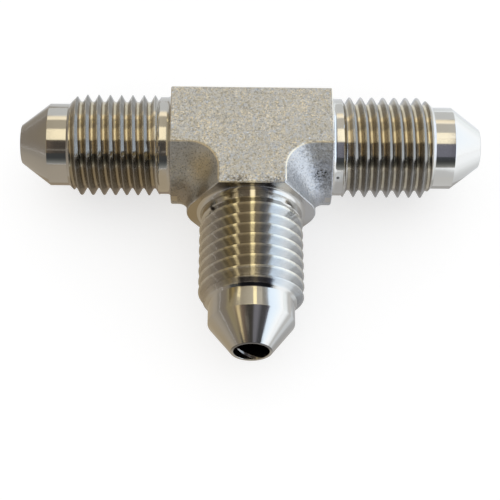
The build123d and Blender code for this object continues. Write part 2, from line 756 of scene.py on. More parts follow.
class Board:
    """The nodes of one material or world."""

    def __init__(self, owner: bpy.types.Material | bpy.types.World) -> None:
        """Clears the owner's nodes."""
        owner.use_nodes = True
        self.owner = owner
        self.tree = owner.node_tree
        self.tree.nodes.clear()

    @classmethod
    def of_material(cls, name: str) -> "Board":
        """Starts a new material of a given name."""
        return cls(bpy.data.materials.new(name))

    def node(
        self,
        kind: str,
        settings: Mapping[str, object] | None = None,
        sockets: Mapping[str | int, object] | None = None,
    ) -> bpy.types.Node:
        """Adds one node.

        Args:
            kind: The node's type.
            settings: Its settings, set first. "stops" holds a ramp's places and colours.
            sockets: The value or link of each input.

        Returns:
            The new node.
        """
        node = self.tree.nodes.new(kind)
        for name, setting in (settings or {}).items():
            if name == "stops":
                self._set_stops(node.color_ramp, setting)
            else:
                setattr(node, name, setting)
        for name, entry in (sockets or {}).items():
            if isinstance(entry, Wire):
                self.tree.links.new(entry.socket, node.inputs[name])
            elif isinstance(entry, Socket):
                self.tree.links.new(entry, node.inputs[name])
            else:
                node.inputs[name].default_value = entry
        return node

    @staticmethod
    def _set_stops(ramp: bpy.types.ColorRamp, stops: Stops) -> None:
        """Gives a colour ramp its stops, two or more."""
        while len(ramp.elements) < len(stops):
            ramp.elements.new(1)
        for element, (place, colour) in zip(ramp.elements, stops):
            element.position = place
            element.color = (*colour, 1)

    def sum(self, operation: str, first: "Value | float", second: "Value | float") -> Value:
        """Adds a Math node for one step of a sum."""
        maths = self.node("ShaderNodeMath", {"operation": operation}, {0: first, 1: second})
        return Value(self, maths.outputs[0])

    def arrow(
        self,
        operation: str,
        first: Arrow,
        second: "Arrow | Value | float | None" = None,
        slot: int = 1,
    ) -> Arrow:
        """Adds a Vector Math node for one step with vectors.

        Args:
            operation: The node's operation.
            first: The first vector.
            second: What it is joined with, if anything.
            slot: The input that the second one goes into.

        Returns:
            The resulting vector.
        """
        sockets = {0: first} if second is None else {0: first, slot: second}
        maths = self.node("ShaderNodeVectorMath", {"operation": operation}, sockets)
        return Arrow(self, maths.outputs[0])

    def measure(self, operation: str, sockets: Mapping[str | int, object]) -> Value:
        """Adds a Vector Math node that gives a number."""
        maths = self.node("ShaderNodeVectorMath", {"operation": operation}, sockets)
        return Value(self, maths.outputs[1])

    def vector(self, x: Value | float, y: Value | float, z: Value | float) -> Arrow:
        """Puts a vector together from its three parts."""
        return Arrow(self, self.node("ShaderNodeCombineXYZ", sockets={0: x, 1: y, 2: z}).outputs[0])

    def rise(self, value: Value, zero_at: float, one_at: float, start: float = 0.0) -> Value:
        """Goes smoothly from 0 to 1 between two places of a value, either way round.

        Args:
            value: The value.
            zero_at: Where the result is 0.
            one_at: Where the result is 1.
            start: What both places are measured from.

        Returns:
            The result.
        """
        ramp = self.node(
            "ShaderNodeMapRange",
            {"interpolation_type": "SMOOTHSTEP"},
            {"Value": value, "From Min": start + zero_at, "From Max": start + one_at},
        )
        return Value(self, ramp.outputs[0])

    def blend(
        self,
        factor: "Value | float",
        first: Socket | Colour,
        second: Socket | Colour,
        way: str = "MIX",
    ) -> Socket:
        """Mixes two colours.

        Args:
            factor: The second colour's share.
            first: A colour or a colour socket.
            second: A colour or a colour socket.
            way: How they are mixed.

        Returns:
            The mixed colour's socket.
        """
        pair = [(*entry, 1) if isinstance(entry, tuple) else entry for entry in (first, second)]
        mix = self.node(
            "ShaderNodeMix",
            {"data_type": "RGBA", "blend_type": way},
            {MIX_FACTOR: factor, MIX_FIRST: pair[0], MIX_SECOND: pair[1]},
        )
        return mix.outputs[MIX_RESULT]

    def tint(self, share: Value, colour: Socket, tint: Colour) -> Socket:
        """Multiplies a colour by a tint, by as much as the share says."""
        return self.blend(share, colour, tint, "MULTIPLY")

    def ramp(self, value: "Value | Socket", stops: Stops) -> Socket:
        """Turns a value from 0 to 1 into a colour between stops."""
        return self.node("ShaderNodeValToRGB", {"stops": stops}, {0: value}).outputs[0]

    def place(self) -> Arrow:
        """Gives the place on the object, in its own coordinates."""
        return Arrow(self, self.node("ShaderNodeTexCoord").outputs["Object"])

    def facing(self) -> Arrow:
        """Gives the direction that the surface faces."""
        return Arrow(self, self.node("ShaderNodeNewGeometry").outputs["Normal"])

    def near(self, place: Arrow, stain_and_light: StainAndLightPatch, wobble: Value | float = 0.0) -> Value:
        """Goes from 1 at the centre of a stain or patch of painted light to 0 at its edge, which the
        wobble moves.
        """
        away = (place - self.vector(*(part * MM for part in stain_and_light.centre))).length() + wobble
        return self.rise(away, stain_and_light.reach * MM, stain_and_light.reach * MM * STAIN_AND_LIGHT_CORE)

    def chips(self, place: Arrow, size: float) -> Arrow:
        """Splits space into small cells and gives each a random vector from -0.5 to 0.5."""
        cells = self.node("ShaderNodeTexVoronoi", sockets={"Vector": place, "Scale": 1 / size})
        return Arrow(self, cells.outputs["Color"]) - self.vector(0.5, 0.5, 0.5)

    def scatter(self, place: Arrow) -> Value:
        """Gives a random number from 0 to 1 that differs at every point."""
        speckle = self.node("ShaderNodeTexWhiteNoise", sockets={"Vector": place})
        return Value(self, speckle.outputs["Value"])

    def noise(
        self, place: Arrow, grain: float, detail: float = 2.0, fineness: float = 0.5
    ) -> Value:
        """Makes cloudy noise from 0 to 1.

        Args:
            place: Where on the object.
            grain: The size of its largest features.
            detail: How many finer layers it has.
            fineness: How strong each finer layer is next to the last.

        Returns:
            The noise.
        """
        cloud = self.node(
            "ShaderNodeTexNoise",
            sockets={"Vector": place, "Scale": 1 / grain, "Detail": detail, "Roughness": fineness},
        )
        return Value(self, cloud.outputs["Fac"])

    def seen_directly(self) -> Value:
        """Gives 1 to the camera, mirrors and glass, and 0 to diffuse light."""
        path = self.node("ShaderNodeLightPath").outputs
        camera, glossy = (Value(self, path[f"Is {ray} Ray"]) for ray in ("Camera", "Glossy"))
        return camera.most(glossy).most(Value(self, path["Is Transmission Ray"]))

    def finish(self, surface: Socket) -> None:
        """Links the finished surface to the output."""
        kind = "World" if isinstance(self.owner, bpy.types.World) else "Material"
        self.node(f"ShaderNodeOutput{kind}", sockets={"Surface": surface})

    def metal(self, skin: Socket, roughness: Value | float, normal: Arrow) -> bpy.types.Material:
        """Finishes the material as bare metal that mirrors by a given normal."""
        steel = self.node(
            "ShaderNodeBsdfPrincipled",
            sockets={"Base Color": skin, "Metallic": 1.0, "Roughness": roughness, "Normal": normal},
        )
        self.finish(steel.outputs[0])
        return self.owner


# Finishes


@dataclass(frozen=True)
class BlastedSteel:
    """The forging's shot-blasted skin: tiny dents that each mirror their own way, dirt and painted
    light.

    A pair of shares, tilts or roughnesses is for the walls and for the flats. Any other pair
    is where a mask is 0 and where it is 1, and depths are measured from the flat.
    """

    colour: Colour = (0.575, 0.578, 0.583)
    gold_fleck: Colour = (0.92, 0.84, 0.70)
    dark_fleck: Colour = (0.27, 0.27, 0.27)
    # A lighter rim along the flats: a worn edge, with a painted highlight
    rim_wear_and_highlight: Colour = (1.0, 0.90, 0.70)
    cloud_size: float = 2.2 * MM
    fleck_size: float = 0.15 * MM
    dark_fleck_shift: Point = (0.01, 0.02, 0.03)
    gold_drift: float = 0.5
    gold_noise: Pair = (0.54, 0.72)
    gold_share: Pair = (0.30, 0.70)
    dark_noise: Pair = (0.47, 0.30)
    dark_share: Pair = (0.65, 0.60)
    flat_depth: Pair = (-0.06 * MM, -0.01 * MM)
    rim_depth: Pair = (-0.17 * MM, -0.10 * MM)
    rim_behind_shoulder: Pair = (0.2 * MM, 0.4 * MM)
    rim_share: float = 0.8
    fine_dent: float = 0.10 * MM
    broad_dent: float = 0.20 * MM
    broad_share: float = 0.7
    tilt: Pair = (0.22, 0.52)
    roughness: Pair = (0.47, 0.36)
    roughness_drift: float = 0.12
    light_and_dirt_wobble: float = 1.2 * MM
    # Painted reflections on the pockets: bluish grey on the right pocket, from the cool light on the
    # right, and warm, mostly darker brown on the left pocket and beside the branch's end
    painted_light_patches: tuple[StainAndLightPatch, ...] = (
        StainAndLightPatch((-4.0, -4.6, 3.2), 2.2, (1.0, 0.88, 0.66)),
        StainAndLightPatch((-6.3, -6.0, 0.6), 2.4, (0.66, 0.59, 0.50)),
        StainAndLightPatch((6.6, -5.9, 0.9), 1.9, (0.76, 0.77, 0.80)),
        StainAndLightPatch((6.5, -4.6, 3.0), 1.6, (0.86, 0.88, 0.94)),
        StainAndLightPatch((-4.6, -7.4, 3.2), 1.5, (0.62, 0.55, 0.46)),
    )
    dirt: StainAndLightPatch = StainAndLightPatch((6.35, -4.9, 2.6), 0.95, (0.05, 0.05, 0.05))
    dirt_grain: float = 0.17 * MM
    dirt_noise: Pair = (0.50, 0.62)

    def dress(self, flat_height: float, shoulder: float) -> bpy.types.Material:
        """Makes the material.

        Args:
            flat_height: How far the flats lie from the middle.
            shoulder: How far along an arm its end face lies.

        Returns:
            The material.
        """
        board = Board.of_material("blasted_steel")
        place = board.place()
        upwards = place.along(UP)
        height = upwards.most(-1 * upwards)
        clouds = board.noise(place, self.cloud_size, detail=3.0) - 0.5
        on_flat = board.rise(height, *self.flat_depth, start=flat_height)
        skin = self._flecked(board, place, clouds, on_flat)
        skin = self._painted_light_and_dirt(board, place, clouds, skin)
        # A painted highlight on the flats' worn rims
        rim = board.rise(height, *self.rim_depth, start=flat_height) * (1 - on_flat)
        rim = rim * board.rise(place.along((0, 1, 0)), *self.rim_behind_shoulder, start=-shoulder)
        skin = board.blend(rim * self.rim_share, skin, self.rim_wear_and_highlight)
        tilt = part_way(self.tilt, on_flat)
        fine = board.chips(place, self.fine_dent) * tilt
        broad = board.chips(place, self.broad_dent) * (tilt * self.broad_share)
        dented = (board.facing() + fine + broad).unit()
        roughness = part_way(self.roughness, on_flat) + self.roughness_drift * clouds
        return board.metal(skin, roughness, dented)

    def _flecked(self, board: Board, place: Arrow, clouds: Value, on_flat: Value) -> Socket:
        """Mixes gold and dark flecks into the bare colour, by other shares on the flats."""
        flecks = board.noise(place, self.fleck_size, detail=1.0)
        elsewhere = place + board.vector(*self.dark_fleck_shift)
        specks = board.noise(elsewhere, self.fleck_size, detail=1.0)
        gold = board.rise(flecks + self.gold_drift * clouds, *self.gold_noise)
        dark = board.rise(specks, *self.dark_noise)
        skin = board.blend(gold * part_way(self.gold_share, on_flat), self.colour, self.gold_fleck)
        return board.blend(dark * part_way(self.dark_share, on_flat), skin, self.dark_fleck)

    def _painted_light_and_dirt(self, board: Board, place: Arrow, clouds: Value, skin: Socket) -> Socket:
        """Lays the painted reflections and the grains of dirt over a colour, with cloudy edges."""
        wobble = self.light_and_dirt_wobble * clouds
        # Painted reflections tint the pockets
        for stain_and_light in self.painted_light_patches:
            skin = board.tint(board.near(place, stain_and_light, wobble), skin, stain_and_light.tint)
        grime = board.rise(board.noise(place, self.dirt_grain), *self.dirt_noise)
        return board.blend(board.near(place, self.dirt, wobble) * grime, skin, self.dirt.tint)


@dataclass(frozen=True)
class ArmSpot:
    """Where a point lies on one turned arm, as a board measures it.

    It lies so far along the arm (its reach) and so far out from its axis (its radius). Its
    spoke is the direction from the axis to it, whose parts up and to the right are its height
    and its aside.
    """

    board: Board
    sizes: TeeSizes
    place: Arrow
    axle: Arrow
    reach: Value
    radius: Value
    spoke: Arrow
    height: Value
    aside: Value
    in_thread: Value

    @classmethod
    def on(cls, arm: Arm, board: Board, sizes: TeeSizes) -> "ArmSpot":
        """Adds the nodes that measure where a point lies.

        Args:
            arm: The arm that it lies on.
            board: The board that they go on.
            sizes: The tee's sizes.

        Returns:
            The spot.
        """
        place = board.place()
        axle = board.vector(*arm.axis)
        reach = place.along(arm.axis)
        outwards = place - axle * reach
        spoke = outwards.unit()
        in_thread = board.rise(reach, *THREAD_BEGINS, start=sizes.thread_first)
        in_thread = in_thread * board.rise(reach, *THREAD_ENDS, start=sizes.thread_last)
        return cls(
            board=board,
            sizes=sizes,
            place=place,
            axle=axle,
            reach=reach,
            radius=outwards.length(),
            spoke=spoke,
            height=spoke.along(UP),
            aside=spoke.along(TO_THE_RIGHT),
            in_thread=in_thread,
        )


@dataclass(frozen=True)
class TurnedSteel:
    """Steel off the lathe, whose fine rings smear what it mirrors along each arm's axis.

    The smear's pair is for the plain parts and for the thread. Any other pair is where a mask
    is 0 and where it is 1, and depths are measured from the thread's crests.
    """

    name: str = "turned_steel"
    colour: Colour = (0.62, 0.60, 0.56)
    # Painted shade and dirt darken the thread's grooves
    groove_shade_and_dirt: Colour = (0.48, 0.41, 0.31)
    groove_depth: Pair = (-0.05 * MM, -0.25 * MM)
    # Painted light at the thread's roots: by default a gold sheen, as if mirroring warm lamps; the
    # branch's roots get darker painted shade
    root_light_and_shade: Colour = (0.72, 0.64, 0.48)
    root_depth: Pair = (-0.58 * MM, -0.64 * MM)
    # The crests' colour; on the run's arms, kept to the upper flanks that face +X, it is painted
    # shade
    crest_tone_and_shade: Colour = (0.26, 0.25, 0.23)
    crest_band: float = 0.40 * MM
    crest_fade: float = 0.10 * MM
    crest_lean: float = 0.0
    lean_share: float = 0.8
    lean_height: Pair = (0.58, 0.70)
    lean_facing: Pair = (-0.2, 0.2)
    # Painted shade on the upper half of the nose's end face
    nose_top_painted_shade: Colour = (0.22, 0.22, 0.22)
    nose_reach: Pair = (-0.05 * MM, -0.02 * MM)
    nose_height: Pair = (-0.2 * MM, 0.9 * MM)
    roughness: float = 0.11
    roughness_drift: float = 0.08
    drift_size: float = 0.9 * MM
    ring_grain: float = 0.09 * MM
    ring_tilt: float = 0.06
    smear: Pair = (0.10, 0.5)
    worn_share: float = 0.22
    worn_lift: float = 9.0
    worn_edge: Pair = (-0.02, 0.02)
    worn_shift: Point = (0.1, 0.2, 0.3)
    first_turn: Pair = (0.6 * MM, 0.3 * MM)
    first_turn_wear: float = 0.85
    # Painted shade on the lower part of the thread
    underside_painted_shade: Colour | None = None
    underside_height: Pair = (0.76, 0.62)
    # Painted light that tints the thread towards each side
    side_painted_light: tuple[tuple[Pair, Colour], ...] = ()
    # Painted shade on the top of the collar's root and of the end faces
    corner_painted_shade: Colour | None = None
    corner_reach: float = 0.34 * MM
    corner_edge: Pair = (0.04 * MM, -0.04 * MM)
    # Painted shade on the top of the thread's start face
    start_painted_shade: Colour | None = None
    start_near_edge: Pair = (0.26 * MM, 0.36 * MM)
    start_far_edge: Pair = (0.96 * MM, 0.92 * MM)
    start_left_edge: Pair = (-0.36, -0.22)
    top_height: Pair = (0.80, 0.88)
    top_right_edge: Pair = (0.48, 0.36)
    # Painted light on the upper front of the collar and of the land
    brow_painted_light: Colour | None = None
    brow_depth: Pair = (-0.92 * MM, -0.90 * MM)
    brow_front: Pair = (-0.15, 0.0)
    brow_height: Pair = (0.60, 0.66)
    # Real marks, such as a nick, and patches of painted light
    marks_and_painted_light: tuple[StainAndLightPatch, ...] = ()

    def dress(self, arm: Arm, sizes: TeeSizes, shoulder: float) -> bpy.types.Material:
        """Makes the material for one arm.

        Args:
            arm: The arm whose axis the rings go round.
            sizes: The tee's sizes.
            shoulder: How far along the arm the body's end face lies.

        Returns:
            The material.
        """
        board = Board.of_material(f"{self.name}_{arm.name.lower()}")
        spot = ArmSpot.on(arm, board, sizes)
        facing = board.facing()
        ringed = self._ringed(spot, facing)
        crest_foot = sizes.thread_radius - self.crest_band
        on_crest = spot.in_thread * board.rise(spot.radius, -self.crest_fade, 0.0, start=crest_foot)
        if self.crest_lean:
            on_crest = on_crest * board.rise(facing.along(TO_THE_RIGHT), *self.lean_facing)
            ringed = self._leaning(spot, ringed, on_crest)
        skin = self._thread_colour(spot)
        # On the run's arms the crest colour is painted shade on the flanks that face +X
        skin = board.blend(on_crest, skin, self.crest_tone_and_shade)
        skin = self._shaded_top(spot, shoulder, skin)
        # Painted light on the upper front of the collar and of the land
        if self.brow_painted_light:
            skin = board.tint(self._brow(spot), skin, self.brow_painted_light)
        # Painted shade on the top of the nose
        on_nose = board.rise(spot.reach, *self.nose_reach, start=sizes.centre_to_tip)
        upper = board.rise(spot.place.along(UP), *self.nose_height)
        skin = board.blend(on_nose * upper, skin, self.nose_top_painted_shade)
        # Real marks and patches of painted light
        for mark_and_light in self.marks_and_painted_light:
            skin = board.tint(board.near(spot.place, mark_and_light), skin, mark_and_light.tint)
        drift = board.noise(spot.place, self.drift_size, detail=3.0) - 0.5
        return board.metal(skin, self.roughness + self.roughness_drift * drift, ringed)

    def _ringed(self, spot: ArmSpot, facing: Arrow) -> Arrow:
        """Tilts the surface along the arm by its rings, and lifts it outwards where it is worn.

        Args:
            spot: Where on the arm.
            facing: The direction that the surface faces.

        Returns:
            The direction that it mirrors by.
        """
        board = spot.board
        profile = board.vector(spot.reach, spot.radius, 0)
        stray = 2 * board.scatter(profile) - 1
        rings = board.noise(profile, self.ring_grain, detail=3.0, fineness=0.7) - 0.5
        smear = part_way(self.smear, spot.in_thread)
        tilt = self.ring_tilt * rings + smear * stray * stray * stray
        chance = board.scatter(profile + board.vector(*self.worn_shift))
        in_first_turn = board.rise(spot.reach, *self.first_turn, start=spot.sizes.thread_first)
        unworn = (1 - self.worn_share) * (1 - self.first_turn_wear * in_first_turn)
        lifted = board.rise(chance - unworn, *self.worn_edge)
        worn = (facing + spot.spoke * (spot.in_thread * self.worn_lift * lifted)).unit()
        return (worn + spot.axle.cross(spot.spoke).cross(worn) * tilt).unit()

    def _leaning(self, spot: ArmSpot, ringed: Arrow, on_crest: Value) -> Arrow:
        """Leans the top of the crests to the right, as a flattened crest does."""
        board = spot.board
        uppermost = on_crest * board.rise(spot.height, *self.lean_height)
        leaning = (spot.spoke + board.vector(self.crest_lean, 0, 0)).unit()
        return (ringed + (leaning - ringed) * (self.lean_share * uppermost)).unit()

    def _thread_colour(self, spot: ArmSpot) -> Socket:
        """Colours the thread from its crests down to its roots, with dirt and painted light and
        shade.
        """
        board, in_thread = spot.board, spot.in_thread
        crest_radius = spot.sizes.thread_radius
        # Painted shade and dirt in the grooves
        groove = board.rise(spot.radius, *self.groove_depth, start=crest_radius)
        skin = board.blend(in_thread * groove, self.colour, self.groove_shade_and_dirt)
        # Painted light and shade at the roots
        root = board.rise(spot.radius, *self.root_depth, start=crest_radius)
        skin = board.blend(in_thread * root, skin, self.root_light_and_shade)
        # Painted shade on the lower part of the thread
        if self.underside_painted_shade:
            underside = in_thread * board.rise(spot.height, *self.underside_height)
            skin = board.tint(underside, skin, self.underside_painted_shade)
        # Painted light on the thread's sides
        for side_edge, tint in self.side_painted_light:
            skin = board.tint(in_thread * board.rise(spot.aside, *side_edge), skin, tint)
        return skin

    def _shaded_top(self, spot: ArmSpot, shoulder: float, skin: Socket) -> Socket:
        """Paints shade on the top of the collar's root and of the thread's start face.

        Args:
            spot: Where on the arm.
            shoulder: How far along the arm the body's end face lies.
            skin: The colour so far.

        Returns:
            The colour's socket.
        """
        board = spot.board
        if self.corner_painted_shade:
            corner_end = shoulder + self.corner_reach
            in_corner = board.rise(spot.reach, *self.corner_edge, start=corner_end)
            skin = board.tint(in_corner * self._on_top(spot), skin, self.corner_painted_shade)
        if self.start_painted_shade:
            last = spot.sizes.thread_last
            on_start = board.rise(spot.reach, *self.start_near_edge, start=last)
            on_start = on_start * board.rise(spot.reach, *self.start_far_edge, start=last)
            on_start = on_start * board.rise(spot.aside, *self.start_left_edge)
            skin = board.tint(on_start * self._on_top(spot), skin, self.start_painted_shade)
        return skin

    def _on_top(self, spot: ArmSpot) -> Value:
        """Gives 1 on the top of an arm, up to where the bright window's image starts."""
        below_edge = spot.board.rise(spot.height, *self.top_height)
        return below_edge * spot.board.rise(spot.aside, *self.top_right_edge)

    def _brow(self, spot: ArmSpot) -> Value:
        """Gives 1 on the upper front of the collar and of the land, where painted light goes."""
        board = spot.board
        not_cone = board.rise(spot.radius, *self.brow_depth, start=spot.sizes.thread_radius)
        in_front = board.rise(spot.spoke.along(BRANCH_AXIS), *self.brow_front)
        plain = (1 - spot.in_thread) * not_cone
        return plain * in_front * board.rise(spot.height, *self.brow_height)


@dataclass(frozen=True)
class BoredSteel:
    """The smooth walls of the bores, painted dark as shade, with the burr that the drill left in the
    branch's.
    """

    # Painted shade: the walls are far darker than the steel, for the shade deep in the bores
    colour: Colour = (0.16, 0.15, 0.14)
    roughness: float = 0.16
    # A painted glint: the burr is lighter than the wall, and its lean mirrors the light
    burr_glint_colour: Colour = (0.27, 0.26, 0.245)
    burr_lean: float = 0.48
    burr_depth: float = 0.33 * MM
    burr_skew: float = 0.66 * MM
    burr_half_width: Pair = (0.15 * MM, 0.06 * MM)
    burr_height: Pair = (-0.50, -0.65)

    def dress(self, mouth: float) -> bpy.types.Material:
        """Makes the material.

        Args:
            mouth: How far along the branch its mouth lies.

        Returns:
            The material.
        """
        board = Board.of_material("bored_steel")
        place = board.place()
        axle = board.vector(*BRANCH_AXIS)
        reach = place.along(BRANCH_AXIS)
        spoke = (place - axle * reach).unit()
        askew = mouth - reach + self.burr_skew * spoke.along(TO_THE_RIGHT) - self.burr_depth
        edge, core = self.burr_half_width
        on_burr = board.rise(askew * askew, edge**2, core**2)
        on_burr = on_burr * board.rise(spoke.along(UP), *self.burr_height)
        # The wall's dark colour is painted shade; the burr's lighter colour is a painted glint
        skin = board.blend(on_burr, self.colour, self.burr_glint_colour)
        leaning = (board.facing() + axle * (on_burr * self.burr_lean)).unit()
        return board.metal(skin, self.roughness, leaning)


FACED_STEEL = TurnedSteel(
    name="faced_steel",
    colour=(0.50, 0.47, 0.42),
    smear=(0.3, 0.5),
    ring_tilt=0.15,
    # Painted shade on the top of the end faces
    corner_painted_shade=(0.42, 0.42, 0.46),
    # Painted light on the branch's end face: warmer and darker to the left, brighter and bluer to
    # the right
    marks_and_painted_light=(
        StainAndLightPatch((-5.2, -7.45, 0.5), 3.4, (0.88, 0.80, 0.64)),
        StainAndLightPatch((5.0, -7.45, 0.8), 3.6, (1.25, 1.32, 1.45)),
    ),
)
RUN_STEEL = TurnedSteel(
    # Painted shade and dirt in the grooves
    groove_shade_and_dirt=(0.37, 0.32, 0.245),
    # Painted shade on the upper flanks that face +X
    crest_tone_and_shade=(0.28, 0.265, 0.24),
    crest_lean=0.42,
)
TURNED_STEEL = {
    Arm.RIGHT: replace(
        RUN_STEEL,
        # Painted shade under the thread
        underside_painted_shade=(0.62, 0.62, 0.64),
        # Painted light on the upper front of the collar and land
        brow_painted_light=(1.08, 1.12, 1.22),
        marks_and_painted_light=(StainAndLightPatch((8.0, -4.36, 1.37), 0.2, (0.1, 0.1, 0.1)),),
    ),
    # Painted shade under the thread
    Arm.LEFT: replace(RUN_STEEL, underside_painted_shade=(0.58, 0.57, 0.56)),
    Arm.BRANCH: TurnedSteel(
        # Painted shade and dirt in the grooves
        groove_shade_and_dirt=(0.46, 0.44, 0.41),
        # Painted shade at the roots
        root_light_and_shade=(0.44, 0.42, 0.39),
        crest_tone_and_shade=(0.74, 0.71, 0.63),
        crest_band=0.07 * MM,
        worn_share=0.7,
        # Painted shade on the top of the collar's root
        corner_painted_shade=(0.42, 0.42, 0.46),
        # Painted shade on the top of the thread's start face
        start_painted_shade=(0.14, 0.14, 0.17),
        # Painted light: cooler and brighter to the right, warmer and brighter to the left
        side_painted_light=(
            ((0.28, 0.42), (1.12, 1.17, 1.22)),
            ((-0.60, -0.75), (1.2, 1.16, 1.1)),
        ),
        marks_and_painted_light=(
            StainAndLightPatch((-3.47, -8.82, 3.05), 0.36, (0.05, 0.045, 0.04)),
            StainAndLightPatch((-3.49, -8.58, 2.65), 0.36, (0.05, 0.045, 0.04)),
        ),
    ),
}


def end_face_of(arm: Arm) -> FaceTest:
    """Makes a test for the body's turned face at the end of an arm."""

    def at_end(polygon: bpy.types.MeshPolygon) -> bool:
        """Says whether a face looks straight out along the arm and lies on its side."""
        return arm.along(polygon.normal) > LOOKS_OUT and arm.along(polygon.center) > 0

    return at_end


def bore_wall_of(bore_radius: float) -> FaceTest:
    """Makes a test for the walls of the run's and the branch's bores, of one radius."""

    def in_bore(polygon: bpy.types.MeshPolygon) -> bool:
        """Says whether a face looks inwards from a bore's radius."""
        inwards = polygon.normal.dot(polygon.center) < 0
        from_run = math.hypot(polygon.center.y, polygon.center.z)
        from_branch = math.hypot(polygon.center.x, polygon.center.z)
        return inwards and min(from_run, from_branch) < bore_radius + SAME_PLACE

    return in_bore


def dress_faces(
    piece: bpy.types.Object,
    material: bpy.types.Material,
    wanted: FaceTest | None = None,
) -> None:
    """Gives a piece one more material, on the faces that are wanted.

    Args:
        piece: The piece.
        material: The material.
        wanted: Says whether a face gets it. If left out, all do.
    """
    piece.data.materials.append(material)
    slot = len(piece.data.materials) - 1
    for polygon in piece.data.polygons:
        if wanted is None or wanted(polygon):
            polygon.material_index = slot


# Camera, lights and floor


@dataclass(frozen=True)
class PhotoCamera:
    """The camera that took the photograph, as worked out from the tee's own sizes.

    It looks at its target from an azimuth, from +Y towards +X, and an elevation.
    """

    picture_width: float = 500
    focal_length_px: float = 1318.16
    sensor_width_mm: float = 36
    azimuth: float = math.radians(182.1263)
    elevation: float = math.radians(59.9517)
    roll: float = math.radians(2.3277)
    distance: float = 119.28 * MM
    target: Point = (-0.1028 * MM, -11.336 * MM, 0)

    def place(self) -> bpy.types.Object:
        """Adds the camera and makes it the scene's own.

        Returns:
            The camera object.
        """
        back = direction(self.azimuth, self.elevation)
        eye = Vector(self.target) + self.distance * back
        right = (-back).cross(Vector(UP)).normalized()
        up = right.cross(-back)
        rolled_right = right * math.cos(self.roll) + up * math.sin(self.roll)
        rolled_up = up * math.cos(self.roll) - right * math.sin(self.roll)
        bpy.ops.object.camera_add(location=eye)
        camera = bpy.context.object
        camera.name = "photo_camera"
        axes = Matrix((rolled_right, rolled_up, back)).transposed()
        camera.rotation_euler = axes.to_euler()
        camera.data.sensor_width = self.sensor_width_mm
        camera.data.lens = self.focal_length_px / self.picture_width * self.sensor_width_mm
        camera.data.clip_start = MM
        bpy.context.scene.camera = camera
        return camera


class Grading(Enum):
    """The way in which a card's colour changes."""

    UPWARDS = "elevation"
    ROUND = "azimuth"


@dataclass(frozen=True)
class Card:
    """A flat card round the tee that only the steel mirrors, bright as a lamp or dull as a board.

    Its place is an azimuth from +Y towards +X and an elevation, in degrees. Its colours are
    stops along the elevation or the azimuth.
    """

    name: str
    azimuth: float
    elevation: float
    width: float
    height: float
    stops: Stops
    distance: float = 0.5
    grading: Grading = Grading.UPWARDS

    def hang(self) -> bpy.types.Object:
        """Hangs the card so that it faces the tee.

        Returns:
            The card's object.
        """
        outwards = direction(math.radians(self.azimuth), math.radians(self.elevation))
        facing = outwards.to_track_quat("Z", "Y").to_euler()
        card = add_plane(self.name, self.width, self.height, outwards * self.distance, facing)
        board = Board.of_material(self.name)
        across = board.node("ShaderNodeTexCoord").outputs["UV"]
        axis = "Y" if self.grading is Grading.UPWARDS else "X"
        along = board.node("ShaderNodeSeparateXYZ", sockets={0: across}).outputs[axis]
        stops = tuple(sorted(self._on_card(*stop) for stop in self.stops))
        only_for_mirrors(card, board, board.ramp(along, stops))
        return card

    def _on_card(self, angle: float, colour: Colour) -> tuple[float, Colour]:
        """Turns a stop's angle into its place along the card, from 0 to 1."""
        if self.grading is Grading.UPWARDS:
            offset = math.tan(math.radians(angle - self.elevation)) / self.height
        else:
            offset = -math.tan(math.radians(angle - self.azimuth)) / self.width
        return min(max(0.5 + offset * self.distance, 0), 1), colour


@dataclass(frozen=True)
class LevelCard:
    """A thin level card that only the steel mirrors, graded along X. Its places are in mm."""

    name: str
    near_edge: float
    far_edge: float
    stops: Stops
    left_edge: float = -300.0
    right_edge: float = 300.0
    level: float | None = None
    lift: float = 0.05

    def lay(self, floor_level: float) -> bpy.types.Object:
        """Lays the card at its level, or just over the floor if it has none.

        Args:
            floor_level: The floor's height.

        Returns:
            The card's object.
        """
        low_corner = Vector((self.left_edge, self.near_edge, 0)) * MM
        high_corner = Vector((self.right_edge, self.far_edge, 0)) * MM
        size = high_corner - low_corner
        middle = (low_corner + high_corner) / 2
        middle.z = floor_level + self.lift * MM if self.level is None else self.level * MM
        card = add_plane(self.name, size.x, size.y, middle)
        board = Board.of_material(self.name)
        first, last = self.stops[0][0], self.stops[-1][0]
        across = (board.place().along(TO_THE_RIGHT) / MM - first) / (last - first)
        stops = tuple(((place - first) / (last - first), colour) for place, colour in self.stops)
        only_for_mirrors(card, board, board.ramp(across, stops))
        return card


def only_for_mirrors(card: bpy.types.Object, board: Board, colour: Socket) -> None:
    """Makes a card glow in its board's colour, for glossy rays alone."""
    glow = board.node("ShaderNodeEmission", sockets={"Color": colour})
    board.finish(glow.outputs[0])
    card.data.materials.append(board.owner)
    card.visible_camera = False
    card.visible_diffuse = False
    card.visible_shadow = False


